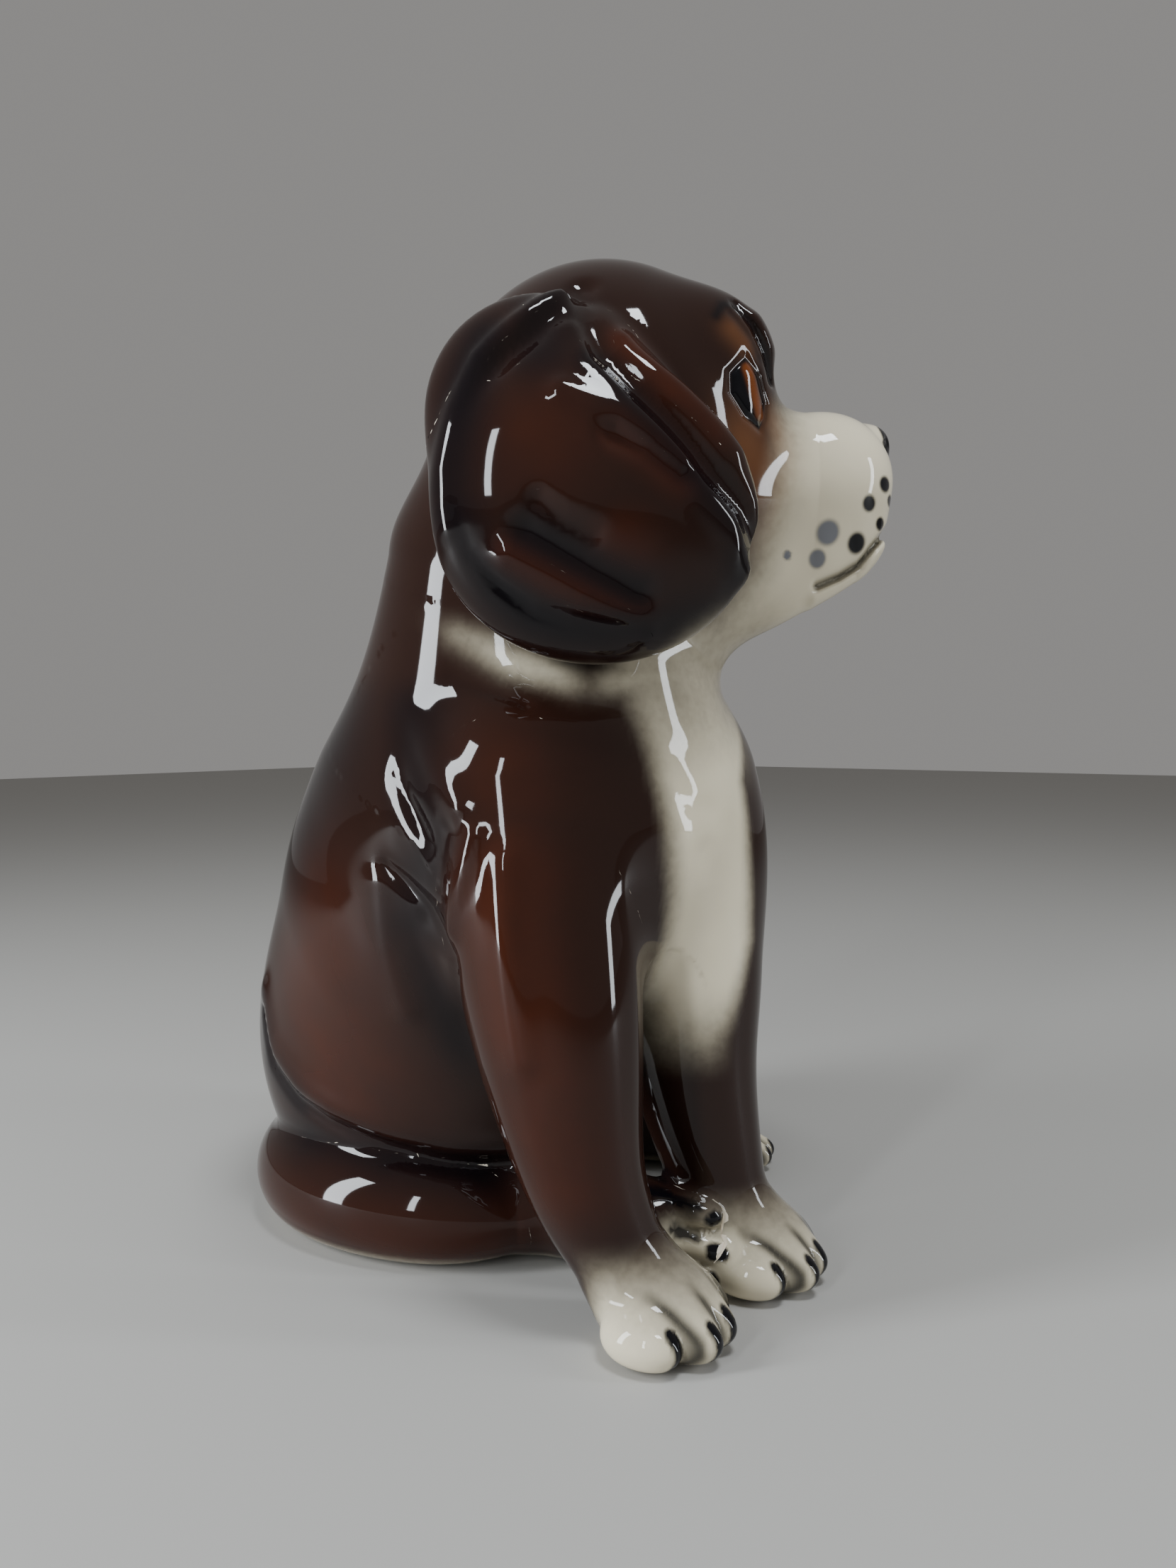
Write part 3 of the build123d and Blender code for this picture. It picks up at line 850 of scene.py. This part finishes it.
def glaze_material(name):
    """Clear glossy glaze over airbrushed stains and painted shade."""
    sizes = bpy.context.scene.puppy
    material = bpy.data.materials.new(name)
    material.use_nodes = True
    tree = material.node_tree
    shader = tree.nodes["Principled BSDF"]
    stains = tree.nodes.new("ShaderNodeGroup")
    stains.node_tree = stain_group(sizes)
    bump = tree.nodes.new("ShaderNodeBump")
    bump.inputs["Strength"].default_value = 0.5
    bump.inputs["Distance"].default_value = sizes.ripple
    tree.links.new(stains.outputs["Height"], bump.inputs["Height"])
    tree.links.new(bump.outputs["Normal"], shader.inputs["Normal"])
    tree.links.new(stains.outputs["Color"], shader.inputs["Base Color"])
    shader.inputs["Roughness"].default_value = 0.35
    shader.inputs["Specular IOR Level"].default_value = 0.0
    shader.inputs["Coat Weight"].default_value = 1.0
    shader.inputs["Coat Roughness"].default_value = sizes.glaze_roughness
    shader.inputs["Coat IOR"].default_value = GLAZE_IOR
    return material


def bisque_material(name):
    """Bare fired clay, where no glaze reaches."""
    material = bpy.data.materials.new(name)
    material.use_nodes = True
    shader = material.node_tree.nodes["Principled BSDF"]
    shader.inputs["Base Color"].default_value = (*bpy.context.scene.puppy.bisque, 1)
    shader.inputs["Roughness"].default_value = 0.75
    return material


GLAZE, BISQUE = 0, 1  # places of the two materials on every piece


def give_materials(mesh, index):
    """Gives the mesh both materials, and every face the one at this place."""
    mesh.materials.clear()
    mesh.materials.append(bpy.data.materials["glaze"])
    mesh.materials.append(bpy.data.materials["bisque"])
    mesh.polygons.foreach_set("material_index", np.full(len(mesh.polygons), index, np.int32))


GLAZE_REACH = 0.4  # how deep in a joint the glaze still runs


def finish_piece(made, node):
    """Paints, glazes and mounts one casting that stands for a node of the frame."""
    mesh = made.data
    points = bench_points(mesh)
    normals = slope(points)
    for name, values in zip(("stain", "accent"), airbrush_and_painted_shade(points, normals)):
        layer = mesh.attributes.new(name, "FLOAT_COLOR", "POINT")
        layer.data.foreach_set("color", values.ravel())
    faces = mesh.polygons
    corners = read(mesh.loops, "vertex_index", np.int32)
    totals = read(faces, "loop_total", np.int32)
    material = read(faces, "material_index", np.int32)
    depth = np.maximum.reduceat(-clay(points)[corners], np.cumsum(totals) - totals)
    material[depth < GLAZE_REACH] = GLAZE
    faces.foreach_set("material_index", material)
    facing = np.repeat(read(faces, "normal", np.float32, 3), totals, axis=0)
    glazed = np.repeat(material == GLAZE, totals)[:, None]
    faces.foreach_set("use_smooth", np.ones(len(faces), bool))
    mesh.normals_split_custom_set(np.where(glazed, normals[corners], facing).tolist())
    mesh.update()
    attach(made, "root")
    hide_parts(node)


def shade(name, description, default):
    """A colour property, from linear values."""
    return bpy.props.FloatVectorProperty(
        name=name, description=description, subtype="COLOR", default=default, min=0, max=1)


def stain(name, description, rgb):
    """A colour property, from screen values 0 to 255."""
    return shade(name, description, colour(rgb)[:3])


class PuppySizes(bpy.types.PropertyGroup):
    """What a potter would change in the clay, the stains and the glaze"""

    grain: bpy.props.FloatProperty(
        name="Grain", description="Size of the mesh on plain skin", subtype="DISTANCE", unit="LENGTH",
        default=0.0015, min=0.0005)
    ripple: bpy.props.FloatProperty(
        name="Ripple", description="Height of the ripples in the glaze", subtype="DISTANCE", unit="LENGTH",
        default=0.00035, min=0)
    glaze_roughness: bpy.props.FloatProperty(
        name="Glaze roughness", description="How far the glaze blurs what it mirrors", subtype="FACTOR",
        default=0.045, min=0, max=1)
    chocolate: stain("Chocolate", "Main brown stain", (41, 28, 24))
    red_brown: stain("Red-brown", "Warm brown on the limbs", (60, 31, 21))
    tan: stain("Tan", "Stain on the cheeks", (98, 64, 42))
    cream: stain("Cream", "Cream of the chest, paws and muzzle", (214, 204, 178))
    # Blue-black also darkens the hollows, partly as painted shade.
    blue_black: stain("Blue-black", "Dark stain in the hollows", (15, 15, 19))
    blue_grey: stain("Blue-grey", "Softer freckles", (52, 66, 92))
    amber: stain("Amber", "Iris", (104, 56, 26))
    bisque: stain("Bisque", "Bare fired clay in the joints", (222, 212, 194))


class PuppyStudio(bpy.types.PropertyGroup):
    """What a potter would change on the stage"""

    lamp_strength: bpy.props.FloatProperty(
        name="Lamp strength", description="Share of each lamp's power", subtype="FACTOR",
        default=1.0, min=0, soft_max=2)
    floor: shade("Floor", "Colour of the floor", (0.37, 0.36, 0.34))
    air: shade("Air", "Colour of the light from all round", (0.9, 0.88, 0.86))
    air_strength: bpy.props.FloatProperty(
        name="Air strength", description="Strength of the light from all round", default=0.3, min=0)


NECK_JOINT = 150.0  # height where the head is luted on
VENT_MIDDLE, VENT_RADIUS, VENT_HEIGHTS = (-11.0, 35.0), 7.0, (-6.0, 18.0)
CASTING_MARGINS = {"ear": 0.8, "foreleg": 1.5, "hind_leg": 1.2, "tail": 1.2}  # round the forms, where cut
ROUGH_GRAIN = 0.0025  # metres
EYES = [head_point(side * EYE[0], EYE[1], EYE[2]) for side in SIDES.values()]
FINE_REGIONS = [  # balls whose mesh is halved once, and those where it is halved again
    [(head_point(0, 52, -8), 36.0), *((eye, 22.0) for eye in EYES),
     *((head_point(side * 49, 14, -8), 24.0) for side in SIDES.values()),
     ((-46, -64, 6), 22.0), ((-5, -64, 6), 22.0), ((-14, -44, 6), 15.0), ((54, -18, 6), 15.0)],
    [(head_point(0, 60, -12), 24.0), *((eye, 14.0) for eye in EYES)],
]


class PUPPY_OT_glazes(bpy.types.Operator):
    """Mixes the glazed and the bare clay materials"""

    bl_idname = "puppy.glazes"
    bl_label = "Glazes"

    def execute(self, context):
        glaze_material("glaze")
        bisque_material("bisque")
        return {"FINISHED"}


class PUPPY_OT_clay(bpy.types.Operator):
    """Rolls, joins and models the whole puppy as one skin of clay"""

    bl_idname = "puppy.clay"
    bl_label = "Model the clay"

    def execute(self, context):
        grain = context.scene.puppy.grain * 1.0
        forms = TORSO + HEAD + TAIL
        for name in SIDES:
            forms += FORELEGS[name] + HIND_LEGS[name] + EARS[name]
            forms += TOES["foreleg_" + name] + TOES["hind_leg_" + name]
        bm = bmesh.new()
        for form in forms:
            lay_form(bm, form)
        bmesh.ops.translate(bm, verts=bm.verts, vec=Vector(BENCH * MM))
        skin = new_object("clay", bm)
        remesh(skin, ROUGH_GRAIN)
        settle(skin.data, 4, detail=False)
        even_out(skin.data, 2)
        settle(skin.data, 2, detail=False)
        remesh(skin, grain)
        settle(skin.data, 2)
        even_out(skin.data, 1)
        settle(skin.data, 2)
        for regions in FINE_REGIONS:
            refine(skin.data, regions)
            settle(skin.data, 2)
        give_materials(skin.data, GLAZE)
        return {"FINISHED"}


def cut_casting(name, node, tool):
    """Takes the casting inside the tool out of the clay and finishes it."""
    skin = bpy.data.objects["clay"]
    casting = skin.copy()
    casting.data = skin.data.copy()
    casting.name = name
    casting.data.name = name
    bpy.context.scene.collection.objects.link(casting)
    boolean(casting, tool, "INTERSECT")
    boolean(skin, tool, "DIFFERENCE")
    bpy.data.objects.remove(tool)
    keep_outer_shell(casting.data)
    keep_outer_shell(skin.data)
    finish_piece(casting, node)


class PUPPY_OT_ears(bpy.types.Operator):
    """Cuts the two hanging ears"""

    bl_idname = "puppy.ears"
    bl_label = "Ears"

    def execute(self, context):
        for name in SIDES:
            tool = cutter(EARS[name], CASTING_MARGINS["ear"])
            cut_casting("ear_" + name + "_lobe", "ear_" + name, tool)
        return {"FINISHED"}


class PUPPY_OT_head(bpy.types.Operator):
    """Cuts the head and upper neck at the luted joint"""

    bl_idname = "puppy.head"
    bl_label = "Head"

    def execute(self, context):
        tool = block((-200, -200, NECK_JOINT), (200, 200, 400))
        cut_casting("head_casting", "head_shell", tool)
        return {"FINISHED"}


def cut_leg(node, forms, margin):
    """Cuts one leg with its toes."""
    cut_casting(node + "_casting", node, cutter(forms + TOES[node], margin))


class PUPPY_OT_forelegs(bpy.types.Operator):
    """Cuts the two forelegs with their paws"""

    bl_idname = "puppy.forelegs"
    bl_label = "Forelegs"

    def execute(self, context):
        for name in SIDES:
            cut_leg("foreleg_" + name, FORELEGS[name], CASTING_MARGINS["foreleg"])
        return {"FINISHED"}


class PUPPY_OT_hind_legs(bpy.types.Operator):
    """Cuts the two folded hind legs with their feet"""

    bl_idname = "puppy.hind_legs"
    bl_label = "Hind legs"

    def execute(self, context):
        for name in SIDES:
            cut_leg("hind_leg_" + name, HIND_LEGS[name], CASTING_MARGINS["hind_leg"])
        return {"FINISHED"}


class PUPPY_OT_tail(bpy.types.Operator):
    """Cuts the tail, and leaves the torso"""

    bl_idname = "puppy.tail"
    bl_label = "Tail"

    def execute(self, context):
        cut_casting("tail_casting", "tail", cutter(TAIL, CASTING_MARGINS["tail"]))
        return {"FINISHED"}


class PUPPY_OT_torso(bpy.types.Operator):
    """Bores the vent in the underside and finishes what is left of the clay as the torso casting"""

    bl_idname = "puppy.torso"
    bl_label = "Torso"

    def execute(self, context):
        torso = bpy.data.objects["clay"]
        bm = bmesh.new()
        low, high = VENT_HEIGHTS
        middle = Vector((*VENT_MIDDLE, (low + high) / 2)) + Vector(BENCH)
        bmesh.ops.create_cone(
            bm, cap_ends=True, segments=48, radius1=VENT_RADIUS * MM, radius2=VENT_RADIUS * MM,
            depth=(high - low) * MM, matrix=Matrix.Translation(middle * MM))
        vent = new_object("vent", bm)
        give_materials(vent.data, BISQUE)
        boolean(torso, vent, "DIFFERENCE")
        bpy.data.objects.remove(vent)
        torso.name = "torso_casting"
        torso.data.name = "torso_casting"
        finish_piece(torso, "body_shell")
        return {"FINISHED"}


# name, azimuth in degrees, height above the middle, distance, width and height in metres, power in watts
LAMPS = (
    ("window", -118, 0.22, 0.80, 0.15, 0.70, 10.5),
    ("pane", -80, 0.34, 0.95, 0.07, 0.50, 3.5),
    ("door", 28, 0.20, 0.90, 0.10, 0.60, 4.0),
    ("top", -20, 0.95, 0.40, 0.26, 0.20, 7.0),
)
LAMP_COLOUR = (0.9, 0.95, 1.0)
LAMPS_AIM_HEIGHT = 0.12
CAMERA_PLACE = (-254.0, -213.0, 138.0)
CAMERA_TURN = (90 - 2.9, 0.3, -50.0)
LENS, SENSOR_WIDTH = 27.05, 36.0


def hang_lamp(scene, middle, name, azimuth, height, distance, width, tall, power):
    """One soft rectangular lamp that faces the middle of the stage."""
    data = bpy.data.lights.new(name, "AREA")
    data.shape = "RECTANGLE"
    data.size, data.size_y = width, tall
    data.energy = power * scene.puppy_studio.lamp_strength
    data.color = LAMP_COLOUR
    lamp = bpy.data.objects.new(name, data)
    turn = math.radians(azimuth)
    lamp.location = middle + Vector((math.sin(turn) * distance, -math.cos(turn) * distance, height))
    lamp.rotation_euler = (middle - lamp.location).to_track_quat("-Z", "Y").to_euler()
    scene.collection.objects.link(lamp)


def lay_floor(studio):
    """A plain pale floor."""
    bm = bmesh.new()
    bmesh.ops.create_grid(bm, x_segments=1, y_segments=1, size=3.0)
    floor = new_object("floor", bm)
    paint = bpy.data.materials.new("floor_paint")
    paint.use_nodes = True
    shader = paint.node_tree.nodes["Principled BSDF"]
    shader.inputs["Base Color"].default_value = (*studio.floor, 1)
    shader.inputs["Roughness"].default_value = 0.7
    floor.data.materials.append(paint)


class PUPPY_OT_stage(bpy.types.Operator):
    """Sets the floor, the soft lights and the camera"""

    bl_idname = "puppy.stage"
    bl_label = "Stage"

    def execute(self, context):
        scene = context.scene
        studio = scene.puppy_studio
        lay_floor(studio)
        world = bpy.data.worlds.new("studio")
        world.use_nodes = True
        background = world.node_tree.nodes["Background"]
        background.inputs["Color"].default_value = (*studio.air, 1)
        background.inputs["Strength"].default_value = studio.air_strength
        scene.world = world
        low, high = CAD_BOX
        middle = Vector(((low[0] + high[0]) / 2, (low[1] + high[1]) / 2, LAMPS_AIM_HEIGHT))
        for lamp in LAMPS:
            hang_lamp(scene, middle, *lamp)
        data = bpy.data.cameras.new("camera")
        data.lens, data.sensor_width = LENS, SENSOR_WIDTH
        camera = bpy.data.objects.new("camera", data)
        camera.location = (Vector(CAMERA_PLACE) + Vector(BENCH)) * MM
        camera.rotation_euler = [math.radians(angle) for angle in CAMERA_TURN]
        scene.collection.objects.link(camera)
        scene.camera = camera
        return {"FINISHED"}


class PUPPY_PT_panel(bpy.types.Panel):
    """Lists the sizes and the steps in the sidebar"""

    bl_idname = "PUPPY_PT_panel"
    bl_label = "Puppy"
    bl_space_type = "VIEW_3D"
    bl_region_type = "UI"
    bl_category = "Puppy"

    def draw(self, context):
        for group in (context.scene.puppy, context.scene.puppy_studio):
            for key in type(group).__annotations__:
                self.layout.prop(group, key)
        for step in STEPS:
            self.layout.operator(step.bl_idname)


STEPS = (PUPPY_OT_glazes, PUPPY_OT_clay, PUPPY_OT_ears, PUPPY_OT_head, PUPPY_OT_forelegs,
         PUPPY_OT_hind_legs, PUPPY_OT_tail, PUPPY_OT_torso, PUPPY_OT_stage)
CLASSES = (PuppySizes, PuppyStudio, *STEPS, PUPPY_PT_panel)


def register():
    """Makes the puppy's properties, steps and panel known."""
    for cls in CLASSES:
        bpy.utils.register_class(cls)
    bpy.types.Scene.puppy = bpy.props.PointerProperty(type=PuppySizes)
    bpy.types.Scene.puppy_studio = bpy.props.PointerProperty(type=PuppyStudio)


def unregister():
    """Takes them away again."""
    del bpy.types.Scene.puppy_studio
    del bpy.types.Scene.puppy
    for cls in reversed(CLASSES):
        bpy.utils.unregister_class(cls)


def main():
    """Registers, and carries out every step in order."""
    register()
    bpy.ops.puppy.glazes()
    bpy.ops.puppy.clay()
    bpy.ops.puppy.ears()
    bpy.ops.puppy.head()
    bpy.ops.puppy.forelegs()
    bpy.ops.puppy.hind_legs()
    bpy.ops.puppy.tail()
    bpy.ops.puppy.torso()
    bpy.ops.puppy.stage()


if __name__ == "__main__":
    main()
